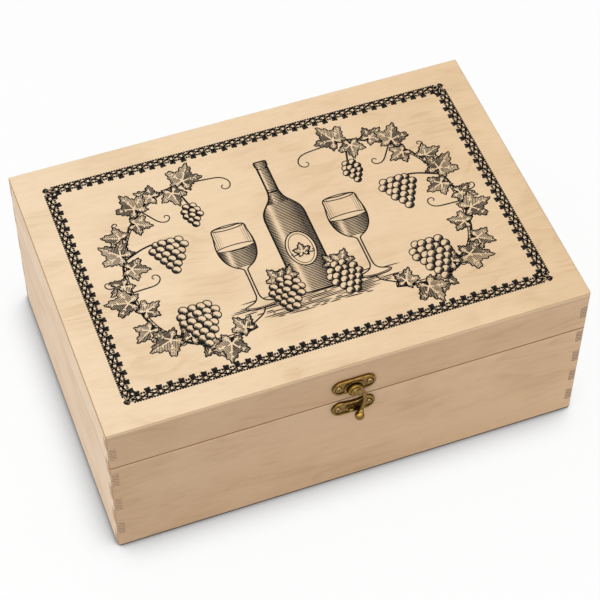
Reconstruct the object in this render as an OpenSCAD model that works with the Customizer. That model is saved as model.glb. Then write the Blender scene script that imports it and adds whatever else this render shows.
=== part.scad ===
// Wooden wine box: finger-jointed case with a hinged lid and a swing-hook latch.
// Millimetres, +Z up, front face towards -Y.
// The origin is the middle of the underside, on the surface that the box stands on.

/* [Case] */
// outside length, left to right
box_w = 300; // [180:1:420]
// outside depth, front to back
box_d = 206; // [140:1:300]
// height of the base, up to where the lid meets it
base_h = 83; // [60:0.5:140]
// height of the lid, its top panel included
lid_h = 33.8; // [28:0.2:60]
// gap between the rims of lid and base when shut
rim_gap = 0.2; // [0.1:0.05:0.5]
// thickness of the front and back boards
front_t = 5.2; // [4:0.1:10]
// thickness of the left and right boards
side_t = 5.2; // [4:0.1:10]
// thickness of the lid's top panel
top_t = 4; // [3:0.1:8]
// thickness of the bottom panel
bottom_t = 3.4; // [2.5:0.1:6]
// how far the bottom panel reaches into the rebate of each board
rebate = 2.4; // [1.5:0.1:3.5]
// slack of the bottom panel in its rebate
panel_fit = 0.1; // [0.05:0.05:0.4]
// glue line between two boards
glue_gap = 0.05; // [0.02:0.01:0.15]
// rounding of the upright corners
corner_r = 1.6; // [0.5:0.1:3.5]
// rounding of the bottom edges
bottom_r = 1.6; // [0.5:0.1:3]
// rounding of the lid's top edges
top_r = 0.9; // [0.5:0.1:3.5]
// width of the small bevel where the rims meet
rim_bevel = 0.5; // [0.2:0.1:1.2]

/* [Finger joints] */
// fingers of the left board that show on the base
left_n = 3; // [1:1:4]
// lower edge of the first left finger
left_from = 13.2; // [6:0.2:20]
// height of a left finger
left_finger = 12.4; // [6:0.2:14]
// distance from one left finger to the next
left_pitch = 26; // [18:0.5:32]
// fingers of the right board that show on the base
right_n = 4; // [1:1:4]
// lower edge of the first right finger
right_from = 10.8; // [6:0.2:16]
// height of a right finger
right_finger = 10.3; // [5:0.1:12]
// distance from one right finger to the next
right_pitch = 20; // [14:0.5:22]
// lower edge of the lid's left finger, above the rim
lid_left_from = 9; // [6:0.2:14]
// height of the lid's left finger
lid_left_finger = 10.8; // [6:0.2:14]
// lower edge of the lid's right finger, above the rim
lid_right_from = 11; // [6:0.2:14]
// height of the lid's right finger
lid_right_finger = 10.6; // [6:0.2:14]

/* [Hinges] */
// distance from the side of the box to the middle of a hinge
hinge_inset = 56; // [40:1:80]
// width of a hinge, along its pin
hinge_w = 26; // [20:1:40]
// reach of a leaf from the pin
leaf_h = 12.5; // [9:0.5:16]
// thickness of a leaf
leaf_t = 1; // [0.8:0.1:1.6]
// outside radius of the knuckles
knuckle_r = 1.9; // [1.6:0.1:2.6]
// radius of the hinge pin
hinge_pin_r = 0.9; // [0.6:0.05:1.1]
// running clearance of the pin in the lid's knuckle
pin_fit = 0.05; // [0.02:0.01:0.1]
// clearance of the pin in the base's knuckles
pin_seat = 0.02; // [0.01:0.01:0.05]
// gap between neighbouring knuckles
knuckle_gap = 0.3; // [0.2:0.05:0.6]
// length of each of the two knuckles on the base
end_knuckle = 7; // [5:0.5:10]
// air between a knuckle and the boards
knuckle_air = 0.3; // [0.2:0.05:0.6]
// how far the lid opens before the stop lips meet the leaf
open_deg = 110; // [95:1:120]
// thickness of the stop lip
stop_t = 0.9; // [0.6:0.1:1.2]
// how far the stop lip reaches under the opened leaf
stop_reach = 1.1; // [0.6:0.1:1.6]
// how far the pin stands out of each end of the hinge
pin_end = 0.2; // [0.1:0.1:0.6]
// distance of the hinge screws from the pin
leaf_screw_z = 8.2; // [6:0.2:12]
// distance between the two screws of a leaf
leaf_screw_gap = 15; // [12:0.5:24]

/* [Latch plates] */
// place of the latch along the front
latch_x = -0.5; // [-30:0.5:30]
// length of a latch plate
plate_w = 27.4; // [22:0.2:36]
// height of a latch plate
plate_h = 12; // [10:0.2:14]
// thickness of the sunk face of a plate
plate_t = 1.3; // [1:0.1:1.6]
// radius of the boss under the hook's head
boss_r = 3.7; // [3:0.1:4.4]
// radius of the raised disc round the boss
disc_r = 6.3; // [5.4:0.1:6.6]
// width of the collar round the catch stud
collar = 1.1; // [0.6:0.1:1.6]
// height of the raised rim above the wood
rim_t = 2; // [1.7:0.1:2.4]
// width of the raised rim
rim_w = 1.5; // [1.2:0.1:2.2]
// rounding of a plate's outer edge
plate_round = 0.7; // [0.3:0.1:0.9]
// flat width between a screw head and the waist
lobe_edge = 0.4; // [0.2:0.1:1]
// depth of the hollow in the waist of a plate
waist = 1.3; // [0.5:0.1:2]
// middle of the upper plate above the lid's rim
upper_z = 14.2; // [9:0.2:18]
// middle of the lower plate below the base's rim
lower_z = 6.2; // [6:0.2:12]
// distance between the two screws of a plate
plate_screw_gap = 19.7; // [16:0.1:26]

/* [Swing hook] */
// distance of the pivot below the middle of the upper plate
pivot_low = 2.3; // [1:0.1:3]
// radius of the pivot rivet
rivet_r = 1.3; // [1:0.1:1.8]
// radius of the rivet's head
rivet_head_r = 1.9; // [1.6:0.1:2.1]
// height of the rivet's head
rivet_head_t = 0.6; // [0.4:0.1:1]
// running clearance of the hook on its rivet
rivet_fit = 0.06; // [0.02:0.01:0.1]
// radius of the hook's round head
head_r = 4.7; // [4.2:0.1:5.2]
// rounding of the head's front edge
head_round = 0.9; // [0.5:0.1:1.2]
// radius of the raised step on the head
step_r = 3.4; // [3.2:0.1:3.6]
// height of the raised step
step_h = 0.7; // [0.6:0.1:1]
// rounding of the step's edge
step_round = 0.4; // [0.2:0.1:0.5]
// height of the scroll ridge on the step
ridge_h = 0.4; // [0.2:0.1:0.6]
// width of the scroll ridge
ridge_w = 0.45; // [0.3:0.05:0.5]
// back of the hook above the wood
hook_back = 2.6; // [2.4:0.1:3.2]
// thickness of the hook's arm
hook_t = 1.9; // [1.6:0.1:2.4]
// width of the arm
arm_wide = 2.5; // [2.4:0.1:3]
// distance of the arm's upper end to the side of the pivot
arm_out = 2.9; // [2.4:0.1:3.2]
// radius of the bow in which the arm runs down to the ball
arm_r = 26; // [26:1:40]
// radius of the ball
ball_r = 3; // [2.6:0.1:3.2]
// radius of the swelling where the arm meets the ball
neck_r = 1.8; // [1.4:0.1:2]
// radius of the catch stud
stud_r = 1.4; // [0.9:0.1:1.6]
// bevel on the end of the catch stud
stud_bevel = 0.4; // [0.2:0.1:0.6]
// height of the catch stud above the wood
stud_h = 4.2; // [4:0.1:5.6]
// distance of the stud below the middle of the lower plate
stud_low = 0.9; // [0:0.1:3]
// the stud stands this far to the left of the pivot
stud_left = 2.1; // [0.8:0.1:2.4]
// play between the ball and the stud above it
stud_play = 0.8; // [0.5:0.1:2]
// clearance beside the stud as the hook hangs
pass_gap = 0.3; // [0.25:0.05:0.6]

/* [Screws] */
// radius of a latch screw's head
screw_head_r = 2.1; // [1.6:0.1:2.6]
// radius of a latch screw's shank
screw_r = 0.9; // [0.7:0.05:1.2]
// height of a latch screw's head
screw_head_h = 0.8; // [0.5:0.1:1]
// how deep a screw goes into the wood
screw_deep = 3.8; // [2.5:0.1:4.5]
// radius of a hinge screw's head
leaf_head_r = 1.7; // [1.3:0.1:2.2]
// radius of a hinge screw's shank
leaf_screw_r = 0.7; // [0.5:0.05:1]
// height of a hinge screw's head
leaf_head_h = 0.7; // [0.4:0.1:1]
// width of a driver slot
slot_wide = 0.55; // [0.3:0.05:0.8]
// clearance of a screw in its hole
screw_fit = 0.05; // [0.02:0.01:0.1]

/* [Hidden] */
$fn = 64;
// overlap of two pieces of one casting, so that they join
tiny = 0.01;
// how much deeper a hole is than what goes into it
hole_spare = 0.2;
// play between the hook's round head and what holds it on both sides
head_play = 0.1;
wood = [0.88, 0.76, 0.58];
brass = [0.56, 0.44, 0.2];

half_w = box_w / 2;
half_d = box_d / 2;
lid_z = base_h + rim_gap;
box_h = lid_z + lid_h;
frame_top = box_h - top_t;
seam_z = base_h + rim_gap / 2;

axis_y = half_d + knuckle_air + knuckle_r;
axis_z = seam_z;
mid_knuckle = hinge_w - 2 * end_knuckle - 2 * knuckle_gap;

upper_mid = lid_z + upper_z;
lower_mid = base_h - lower_z;
pivot_at = upper_mid - pivot_low;
stud_at = lower_mid - stud_low;
ball_side = ball_r + pass_gap + stud_r - stud_left;
ball_y = rim_t + pass_gap + ball_r;
ball_drop = pivot_at - stud_at + stud_r + stud_play + ball_r;
hook_front = hook_back + hook_t;
step_front = hook_front + step_h;

// Ranges of height, [from, to], in which a side board fills the corner.
// A finger that would come closer than last_finger to the rim is left out.
last_finger = 1;
function steps(from, tall, pitch, n, top) =
    [for (i = [0:n - 1])
        let (low = from + i * pitch)
        if (low + tall <= top - last_finger) [low, low + tall]];
base_left_steps = steps(left_from, left_finger, left_pitch, left_n, base_h);
base_right_steps = steps(right_from, right_finger, right_pitch, right_n, base_h);
lid_left_steps = steps(lid_z + lid_left_from, lid_left_finger, lid_h, 1, frame_top);
lid_right_steps = steps(lid_z + lid_right_from, lid_right_finger, lid_h, 1, frame_top);

// ---------- outside shape of the case ----------

// Upright prism of the outline with round corners, from z0 to z1.
module outline_prism(z0, z1) {
    tall = z1 - z0;
    translate([-half_w, corner_r - half_d, z0])
        cube([box_w, box_d - 2 * corner_r, tall]);
    translate([corner_r - half_w, -half_d, z0])
        cube([box_w - 2 * corner_r, box_d, tall]);
    for (x = [-1, 1], y = [-1, 1])
        translate([x * (half_w - corner_r), y * (half_d - corner_r), z0])
            cylinder(r = corner_r, h = tall);
}

// Bar along X that rounds the long edges at z = at, on its side up or down.
module long_round(r, at, up) {
    body = box_h;
    translate([-box_w, -half_d, up ? at - body : at + r])
        cube([2 * box_w, box_d, body - r]);
    translate([-box_w, r - half_d, up ? at - body : at])
        cube([2 * box_w, box_d - 2 * r, body]);
    for (y = [-1, 1])
        translate([-box_w, y * (half_d - r), up ? at - r : at + r])
            rotate([0, 90, 0])
                cylinder(r = r, h = 2 * box_w);
}

// Bar along Y that rounds the short edges at z = at.
module short_round(r, at, up) {
    body = box_h;
    translate([-half_w, -box_d, up ? at - body : at + r])
        cube([box_w, 2 * box_d, body - r]);
    translate([r - half_w, -box_d, up ? at - body : at])
        cube([box_w - 2 * r, 2 * box_d, body]);
    for (x = [-1, 1])
        translate([x * (half_w - r), -box_d, up ? at - r : at + r])
            rotate([-90, 0, 0])
                cylinder(r = r, h = 2 * box_d);
}

// Small bevels along the outside of the seam between lid and base.
module seam_bevels() {
    s = rim_bevel * sqrt(2) + rim_gap / 2;
    for (y = [-1, 1])
        translate([0, y * half_d, seam_z])
            rotate([45, 0, 0])
                cube([box_w + 4, s, s], center = true);
    for (x = [-1, 1])
        translate([x * half_w, 0, seam_z])
            rotate([0, 45, 0])
                cube([s, box_d + 4, s], center = true);
}

// ---------- finger-jointed boards ----------

// Board across the box, y from y0, with notches for the side boards' fingers.
module cross_board(y0, z0, z1, left, right) {
    difference() {
        translate([-half_w, y0, z0])
            cube([box_w, front_t, z1 - z0]);
        for (s = left)
            translate([-half_w - 1, y0 - 1, s[0]])
                cube([side_t + glue_gap + 1, front_t + 2, s[1] - s[0]]);
        for (s = right)
            translate([half_w - side_t - glue_gap, y0 - 1, s[0]])
                cube([side_t + glue_gap + 1, front_t + 2, s[1] - s[0]]);
    }
}

// Board along the side, x from x0, with a finger at both ends in each range.
module side_board(x0, z0, z1, ranges) {
    inner = box_d - 2 * front_t - 2 * glue_gap;
    translate([x0, -inner / 2, z0])
        cube([side_t, inner, z1 - z0]);
    for (s = ranges)
        translate([x0, -half_d, s[0] + glue_gap])
            cube([side_t, box_d, s[1] - s[0] - 2 * glue_gap]);
}

// Rebate for the bottom panel, flush with the underside.
module bottom_rebate() {
    w = box_w - 2 * side_t + 2 * rebate;
    d = box_d - 2 * front_t + 2 * rebate;
    translate([-w / 2, -d / 2, -1])
        cube([w, d, bottom_t + panel_fit + 1]);
}

module base_shape() {
    intersection() {
        outline_prism(0, base_h);
        long_round(bottom_r, 0, false);
        short_round(bottom_r, 0, false);
        children();
    }
}

module lid_shape() {
    intersection() {
        outline_prism(lid_z, frame_top);
        children();
    }
}

module base_front_board() {
    color(wood)
        difference() {
            base_shape()
                cross_board(-half_d, 0, base_h, base_left_steps, base_right_steps);
            bottom_rebate();
            seam_bevels();
            latch_screw_holes(lower_mid);
            bore_in_front(latch_x - stud_left, stud_at, stud_r + screw_fit);
        }
}

module base_back_board() {
    color(wood)
        difference() {
            base_shape()
                cross_board(half_d - front_t, 0, base_h, base_left_steps, base_right_steps);
            bottom_rebate();
            seam_bevels();
            hinge_screw_holes(-1);
        }
}

module base_left_board() {
    color(wood)
        difference() {
            base_shape()
                side_board(-half_w, 0, base_h, base_left_steps);
            bottom_rebate();
            seam_bevels();
        }
}

module base_right_board() {
    color(wood)
        difference() {
            base_shape()
                side_board(half_w - side_t, 0, base_h, base_right_steps);
            bottom_rebate();
            seam_bevels();
        }
}

module base_bottom_panel() {
    w = box_w - 2 * side_t + 2 * rebate - 2 * panel_fit;
    d = box_d - 2 * front_t + 2 * rebate - 2 * panel_fit;
    color(wood)
        translate([-w / 2, -d / 2, 0])
            cube([w, d, bottom_t]);
}

module lid_front_board() {
    color(wood)
        difference() {
            lid_shape()
                cross_board(-half_d, lid_z, frame_top, lid_left_steps, lid_right_steps);
            seam_bevels();
            latch_screw_holes(upper_mid);
            bore_in_front(latch_x, pivot_at, rivet_r + screw_fit);
        }
}

module lid_back_board() {
    color(wood)
        difference() {
            lid_shape()
                cross_board(half_d - front_t, lid_z, frame_top, lid_left_steps, lid_right_steps);
            seam_bevels();
            hinge_screw_holes(1);
        }
}

module lid_left_board() {
    color(wood)
        difference() {
            lid_shape()
                side_board(-half_w, lid_z, frame_top, lid_left_steps);
            seam_bevels();
        }
}

module lid_right_board() {
    color(wood)
        difference() {
            lid_shape()
                side_board(half_w - side_t, lid_z, frame_top, lid_right_steps);
            seam_bevels();
        }
}

module lid_top_panel() {
    color(wood)
        intersection() {
            outline_prism(frame_top, box_h);
            long_round(top_r, box_h, true);
            short_round(top_r, box_h, true);
        }
}

// ---------- butt hinges on the back ----------

function hinge_x(side) = side * (half_w - hinge_inset);

// Moves children from the pin's own frame to the hinge of one side.
module at_hinge(side) {
    translate([hinge_x(side), axis_y, axis_z])
        children();
}

module along_x(x, r, long) {
    translate([x, 0, 0])
        rotate([0, 90, 0])
            cylinder(r = r, h = long);
}

// Two screw holes of a leaf, up (1) or down (-1) from the pin.
module leaf_holes(up, r, deep) {
    for (x = [-1, 1])
        translate([x * leaf_screw_gap / 2, 0, up * leaf_screw_z])
            rotate([90, 0, 0])
                cylinder(r = r, h = deep);
}

module hinge_screw_holes(up) {
    for (side = [-1, 1])
        at_hinge(side)
            leaf_holes(up, leaf_screw_r + screw_fit, axis_y - half_d + screw_deep + hole_spare);
}

// Leaf on the base: two end knuckles, each with the lip that stops the lid.
module base_leaf() {
    back = half_d - axis_y;
    notch = mid_knuckle + 2 * knuckle_gap;
    lip_root = (knuckle_r + hinge_pin_r) / 2;
    difference() {
        union() {
            translate([-hinge_w / 2, back, -leaf_h])
                cube([hinge_w, leaf_t, leaf_h]);
            for (x = [-hinge_w / 2, hinge_w / 2 - end_knuckle]) {
                along_x(x, knuckle_r, end_knuckle);
                rotate([-open_deg, 0, 0])
                    translate([x, back + leaf_t + pin_fit, lip_root])
                        cube([end_knuckle, stop_t, knuckle_r + knuckle_gap + stop_reach - lip_root]);
            }
        }
        translate([-notch / 2, back - 1, -knuckle_r - knuckle_gap])
            cube([notch, 2 * knuckle_r + 4, 2 * knuckle_r + 4]);
        along_x(-hinge_w / 2 - 1, hinge_pin_r + pin_seat, hinge_w + 2);
        leaf_holes(-1, leaf_screw_r + screw_fit, knuckle_air + knuckle_r + 1);
    }
}

// Leaf on the lid: one knuckle in the middle, relieved over the end knuckles.
module lid_leaf() {
    back = half_d - axis_y;
    difference() {
        union() {
            translate([-hinge_w / 2, back, knuckle_r + knuckle_gap])
                cube([hinge_w, leaf_t, leaf_h - knuckle_r - knuckle_gap]);
            translate([-mid_knuckle / 2, back, 0])
                cube([mid_knuckle, leaf_t, leaf_h]);
            along_x(-mid_knuckle / 2, knuckle_r, mid_knuckle);
        }
        along_x(-hinge_w / 2 - 1, hinge_pin_r + pin_fit, hinge_w + 2);
        leaf_holes(1, leaf_screw_r + screw_fit, knuckle_air + knuckle_r + 1);
    }
}

module leaf_screws(up) {
    back = half_d - axis_y;
    for (x = [-1, 1])
        translate([x * leaf_screw_gap / 2, back + leaf_t, up * leaf_screw_z])
            rotate([90, 0, 0])
                slot_screw(leaf_screw_r, leaf_head_r, leaf_head_h, leaf_t + screw_deep);
}

module hinge_leaf_base_left() {
    color(brass)
        at_hinge(-1)
            base_leaf();
}

module hinge_leaf_base_right() {
    color(brass)
        at_hinge(1)
            base_leaf();
}

module hinge_leaf_lid_left() {
    color(brass)
        at_hinge(-1)
            lid_leaf();
}

module hinge_leaf_lid_right() {
    color(brass)
        at_hinge(1)
            lid_leaf();
}

module hinge_pin(side) {
    at_hinge(side)
        along_x(-hinge_w / 2 - pin_end, hinge_pin_r, hinge_w + 2 * pin_end);
}

module hinge_pin_left() {
    color(brass)
        hinge_pin(-1);
}

module hinge_pin_right() {
    color(brass)
        hinge_pin(1);
}

module hinge_screws_base() {
    color(brass)
        for (side = [-1, 1])
            at_hinge(side)
                leaf_screws(-1);
}

module hinge_screws_lid() {
    color(brass)
        for (side = [-1, 1])
            at_hinge(side)
                leaf_screws(1);
}

// ---------- screws ----------

// Screw along +Z with a low cone-sided head below z = 0.
module plain_screw(r, head, tall, long) {
    translate([0, 0, -tall])
        cylinder(r1 = head - tall * 0.6, r2 = head, h = tall);
    translate([0, 0, -tiny])
        cylinder(r = r, h = long);
}

// Groove in a screw head, half the head deep, turned by a.
module driver_groove(tall, long, wide, a) {
    rotate([0, 0, a])
        translate([-long / 2, -wide / 2, -tall - 1])
            cube([long, wide, 1 + tall * 0.6]);
}

module slot_screw(r, head, tall, long) {
    difference() {
        plain_screw(r, head, tall, long);
        driver_groove(tall, 3 * head, slot_wide, 0);
    }
}

module cross_screw(r, head, tall, long) {
    difference() {
        plain_screw(r, head, tall, long);
        for (a = [45, 135])
            driver_groove(tall, 1.15 * head, slot_wide, a);
    }
}

// ---------- latch ----------

// Moves children so that their z axis points into the front of the box,
// their x axis runs along the front and the point lies on the wood at x, z.
module on_front(x, z) {
    translate([x, -half_d, z])
        rotate([-90, 0, 0])
            children();
}

module bore_in_front(x, z, r) {
    on_front(x, z)
        translate([0, 0, -1])
            cylinder(r = r, h = 1 + screw_deep + hole_spare);
}

module latch_screw_holes(mid) {
    for (s = [-1, 1])
        bore_in_front(latch_x + s * plate_screw_gap / 2, mid, screw_r + screw_fit);
}

// Plate outline standing out of the wood from a to b, cut in by "in" all round.
module pill(a, b, in) {
    r = plate_h / 2 - in;
    far = plate_w / 2 - plate_h / 2;
    translate([-far, -r, -b])
        cube([2 * far, 2 * r, b - a]);
    for (s = [-1, 1])
        translate([s * far, 0, -b])
            cylinder(r = r, h = b - a);
}

// The whole plate with its outer edge rounded.
module round_pill(tall) {
    r = plate_h / 2;
    far = plate_w / 2 - plate_h / 2;
    for (s = [-1, 1]) {
        translate([s * far, 0, 0])
            round_disc(r, 0, tall, plate_round);
        translate([0, s * (r - plate_round), plate_round - tall])
            rotate([0, 90, 0])
                cylinder(r = plate_round, h = 2 * far, center = true);
    }
    translate([-far, -r, plate_round - tall])
        cube([2 * far, 2 * r, tall - plate_round]);
    translate([-far, plate_round - r, -tall])
        cube([2 * far, 2 * (r - plate_round), tall]);
}

// Hollow in the waist of a plate: side 1 is the lower edge, -1 the upper one.
module waist_cut(side, in) {
    span = plate_screw_gap / 2 - screw_head_r - lobe_edge;
    big = (span * span + waist * waist) / (2 * waist);
    translate([0, side * (plate_h / 2 + big - waist), -rim_t - 2])
        cylinder(r = big + in, h = rim_t + 4, $fn = 128);
}

// Cast plate with a raised rim, a raised disc round x, y, and sunk seats for its screws.
module plate(side, x, y, disc) {
    difference() {
        round_pill(rim_t);
        difference() {
            pill(plate_t, rim_t + 1, rim_w);
            waist_cut(side, rim_w);
            translate([x, y, -rim_t])
                cylinder(r = disc, h = rim_t);
        }
        waist_cut(side, 0);
        for (s = [-1, 1])
            translate([s * plate_screw_gap / 2, 0, -rim_t - 1])
                cylinder(r = screw_r + screw_fit, h = rim_t + 2);
    }
}

module latch_upper_plate() {
    // local y runs down the front, so side 1 is the edge next to the seam
    color(brass)
        on_front(latch_x, upper_mid)
            difference() {
                union() {
                    plate(1, 0, pivot_low, disc_r);
                    translate([0, pivot_low, head_play - hook_back])
                        cylinder(r = boss_r, h = hook_back - head_play);
                }
                translate([0, pivot_low, -hook_back - 1])
                    cylinder(r = rivet_r + pin_seat, h = hook_back + 2);
            }
}

module latch_lower_plate() {
    color(brass)
        on_front(latch_x, lower_mid)
            difference() {
                plate(-1, -stud_left, stud_low, stud_r + collar);
                translate([-stud_left, stud_low, -rim_t - 1])
                    cylinder(r = stud_r + pin_seat, h = rim_t + 2);
            }
}

module plate_screws(mid) {
    for (s = [-1, 1])
        on_front(latch_x + s * plate_screw_gap / 2, mid)
            translate([0, 0, -plate_t])
                cross_screw(screw_r, screw_head_r, screw_head_h, plate_t + screw_deep);
}

module latch_upper_screws() {
    color(brass)
        plate_screws(upper_mid);
}

module latch_lower_screws() {
    color(brass)
        plate_screws(lower_mid);
}

// Rivet through the hook and the upper plate, with a low domed head.
module latch_rivet() {
    front = step_front + head_play;
    color(brass)
        on_front(latch_x, pivot_at) {
            translate([0, 0, -front])
                cylinder(r = rivet_r, h = front + screw_deep);
            translate([0, 0, -front - rivet_head_t / 2])
                cylinder(r = rivet_head_r, h = rivet_head_t / 2 + tiny);
            translate([0, 0, -front - rivet_head_t])
                cylinder(r1 = rivet_r, r2 = rivet_head_r, h = rivet_head_t / 2 + tiny);
        }
}

// Stud riveted into the lower plate; the ball of the hook swings in under it.
module catch_stud() {
    color(brass)
        on_front(latch_x - stud_left, stud_at) {
            translate([0, 0, stud_bevel - stud_h])
                cylinder(r = stud_r, h = stud_h - stud_bevel + screw_deep);
            translate([0, 0, -stud_h])
                cylinder(r1 = stud_r - stud_bevel, r2 = stud_r, h = stud_bevel + tiny);
        }
}

// The arm's middle line is an arc from the head, out to the right, to the ball.
// Local x runs along the front and local y runs down it, from the pivot.
arm_from = [arm_out, -arm_out / 2];
arm_to = [ball_side, ball_drop];
arm_chord = arm_to - arm_from;
arm_side = [-arm_chord[1], arm_chord[0]] / norm(arm_chord);
arm_centre = (arm_from + arm_to) / 2 + arm_side * sqrt(arm_r * arm_r - pow(norm(arm_chord) / 2, 2));
function arm_angle(p) = atan2(p[1] - arm_centre[1], p[0] - arm_centre[0]);
neck_angle = arm_angle(arm_to) - ball_r * 50 / arm_r;

// Scroll ridge on the head, which winds outwards a little less than one turn.
scroll_steps = 32;
scroll_turn = 330;
scroll_start = rivet_head_r + head_play;
scroll_end = step_r - step_round - ridge_w - head_play;
function scroll(t, wide) =
    let (r = scroll_start + (scroll_end - scroll_start) * t + wide)
    r * [cos(scroll_turn * t - 60), sin(scroll_turn * t - 60)];
scroll_inner = [for (i = [0:scroll_steps]) scroll(i / scroll_steps, 0)];
scroll_outer = [for (i = [scroll_steps:-1:0]) scroll(i / scroll_steps, ridge_w)];

// Disc on z = -from that stands out by tall, with its front edge rounded.
module round_disc(r, from, tall, edge) {
    translate([0, 0, -from])
        mirror([0, 0, 1])
            rotate_extrude() {
                square([r - edge, tall]);
                square([r, tall - edge]);
                translate([r - edge, tall - edge])
                    intersection() {
                        circle(r = edge);
                        square(edge);
                    }
            }
}

// Bar with round sides, bent along the arm's arc.
module hook_arm() {
    half_t = hook_t / 2;
    translate([arm_centre[0], arm_centre[1], -hook_back - half_t])
        rotate([0, 0, arm_angle(arm_from)])
            rotate_extrude(angle = arm_angle(arm_to) - arm_angle(arm_from)) {
                for (s = [-1, 1])
                    translate([arm_r + s * (arm_wide / 2 - half_t), 0])
                        circle(r = half_t);
                translate([arm_r - arm_wide / 2 + half_t, -half_t])
                    square([arm_wide - hook_t, hook_t]);
            }
}

// Swing hook: round head, bowed arm and ball, cast in one piece.
module latch_hook() {
    color(brass)
        on_front(latch_x, pivot_at)
            difference() {
                union() {
                    round_disc(head_r, hook_back, hook_t, head_round);
                    round_disc(step_r, hook_front - tiny, step_h + tiny, step_round);
                    translate([0, 0, -step_front - ridge_h])
                        linear_extrude(ridge_h + tiny)
                            polygon(concat(scroll_inner, scroll_outer));
                    hook_arm();
                    translate([arm_centre[0], arm_centre[1], -hook_back - neck_r])
                        rotate([0, 0, neck_angle])
                            translate([arm_r, 0, 0])
                                sphere(r = neck_r, $fn = 48);
                    translate([ball_side, ball_drop, -ball_y])
                        sphere(r = ball_r, $fn = 48);
                }
                translate([0, 0, -step_front - 1])
                    cylinder(r = rivet_r + rivet_fit, h = step_front + 2);
            }
}

base_front_board();
base_back_board();
base_left_board();
base_right_board();
base_bottom_panel();
lid_front_board();
lid_back_board();
lid_left_board();
lid_right_board();
lid_top_panel();
hinge_leaf_base_left();
hinge_leaf_base_right();
hinge_leaf_lid_left();
hinge_leaf_lid_right();
hinge_pin_left();
hinge_pin_right();
hinge_screws_base();
hinge_screws_lid();
latch_upper_plate();
latch_upper_screws();
latch_rivet();
latch_hook();
latch_lower_plate();
latch_lower_screws();
catch_stud();
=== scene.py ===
import math

import bpy
import numpy as np
from mathutils import Matrix, Vector
from mathutils.geometry import tessellate_polygon


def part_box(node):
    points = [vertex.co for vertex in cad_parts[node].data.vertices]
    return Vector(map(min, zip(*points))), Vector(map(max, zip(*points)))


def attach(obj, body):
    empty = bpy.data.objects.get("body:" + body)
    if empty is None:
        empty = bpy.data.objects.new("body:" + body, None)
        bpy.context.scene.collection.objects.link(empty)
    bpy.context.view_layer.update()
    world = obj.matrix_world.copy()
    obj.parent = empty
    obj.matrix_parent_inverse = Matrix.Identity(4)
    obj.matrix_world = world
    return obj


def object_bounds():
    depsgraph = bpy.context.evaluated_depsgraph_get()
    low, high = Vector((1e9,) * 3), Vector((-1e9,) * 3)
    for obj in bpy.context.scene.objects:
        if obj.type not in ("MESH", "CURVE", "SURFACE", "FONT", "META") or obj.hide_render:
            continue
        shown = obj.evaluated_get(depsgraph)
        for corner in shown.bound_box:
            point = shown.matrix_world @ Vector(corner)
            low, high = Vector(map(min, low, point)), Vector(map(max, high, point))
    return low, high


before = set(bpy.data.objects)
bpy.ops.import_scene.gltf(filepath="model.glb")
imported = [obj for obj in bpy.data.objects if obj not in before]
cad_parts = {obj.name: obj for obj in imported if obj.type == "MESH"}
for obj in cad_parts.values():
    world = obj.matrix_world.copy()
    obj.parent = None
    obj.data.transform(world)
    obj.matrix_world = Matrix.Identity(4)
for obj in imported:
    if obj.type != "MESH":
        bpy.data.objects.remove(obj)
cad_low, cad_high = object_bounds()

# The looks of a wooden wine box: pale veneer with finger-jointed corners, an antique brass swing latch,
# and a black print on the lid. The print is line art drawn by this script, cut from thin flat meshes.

MM = 0.001
IMAGE_WIDTH = 600
LID_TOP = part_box("lid_top_panel")[1].z
PANEL_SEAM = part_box("lid_top_panel")[0].z
RIM_SEAM = (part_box("base_front_board")[1].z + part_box("lid_front_board")[0].z) / 2

# ---------------------------------------------------------------- camera

# The photograph's camera, fitted to nine corners of the box.
EYE = Vector((-0.2730, -0.7346, 1.0558))
FORWARD = Vector((0.21761, 0.57571, -0.78816))
UPWARD = Vector((0.27008, 0.74046, 0.61544))
FOCAL_PIXELS = 2022.6
SENSOR = 36.0


def make_camera():
    """The photograph's viewpoint: above the front left of the box, with a long lens."""
    data = bpy.data.cameras.new("photo_camera")
    data.sensor_fit = "HORIZONTAL"
    data.sensor_width = SENSOR
    data.lens = FOCAL_PIXELS * SENSOR / IMAGE_WIDTH
    data.clip_start = 0.05
    camera = bpy.data.objects.new("photo_camera", data)
    bpy.context.scene.collection.objects.link(camera)
    forward = FORWARD.normalized()
    right = forward.cross(UPWARD).normalized()
    up = right.cross(forward)
    turn = Matrix((right, up, -forward)).transposed().to_4x4()
    camera.matrix_world = Matrix.Translation(EYE) @ turn
    bpy.context.scene.camera = camera


# ---------------------------------------------------------------- node helpers


def node(tree, kind, inputs=(), **settings):
    """A new node of that kind. inputs is {socket: a value, or another node's output to link}."""
    made = tree.nodes.new(kind)
    for key, value in settings.items():
        setattr(made, key, value)
    for key, value in dict(inputs).items():
        if isinstance(value, bpy.types.NodeSocket):
            tree.links.new(value, made.inputs[key])
        else:
            made.inputs[key].default_value = value
    return made


def maths(tree, operation, a, b=0.0):
    """The output of one Math node."""
    return node(tree, "ShaderNodeMath", {0: a, 1: b}, operation=operation).outputs[0]


def blend(tree, factor, a, b):
    """The colour a Mix node gives. Its sockets 6 and 7 take the colours and output 2 is its colour."""
    return node(tree, "ShaderNodeMix", {0: factor, 6: a, 7: b}, data_type="RGBA").outputs[2]


def ramp(tree, value, low, high, to_low=0.0, to_high=1.0, course="SMOOTHSTEP"):
    """value as it rises from low to high, as a number from to_low to to_high."""
    inputs = {0: value, 1: low, 2: high, 3: to_low, 4: to_high}
    return node(tree, "ShaderNodeMapRange", inputs, interpolation_type=course).outputs[0]


def noise(tree, place, scale, detail=3.0, distortion=0.0):
    """A Noise Texture's value at place."""
    inputs = {"Vector": place, "Scale": scale, "Detail": detail, "Distortion": distortion}
    return node(tree, "ShaderNodeTexNoise", inputs).outputs[0]


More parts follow.
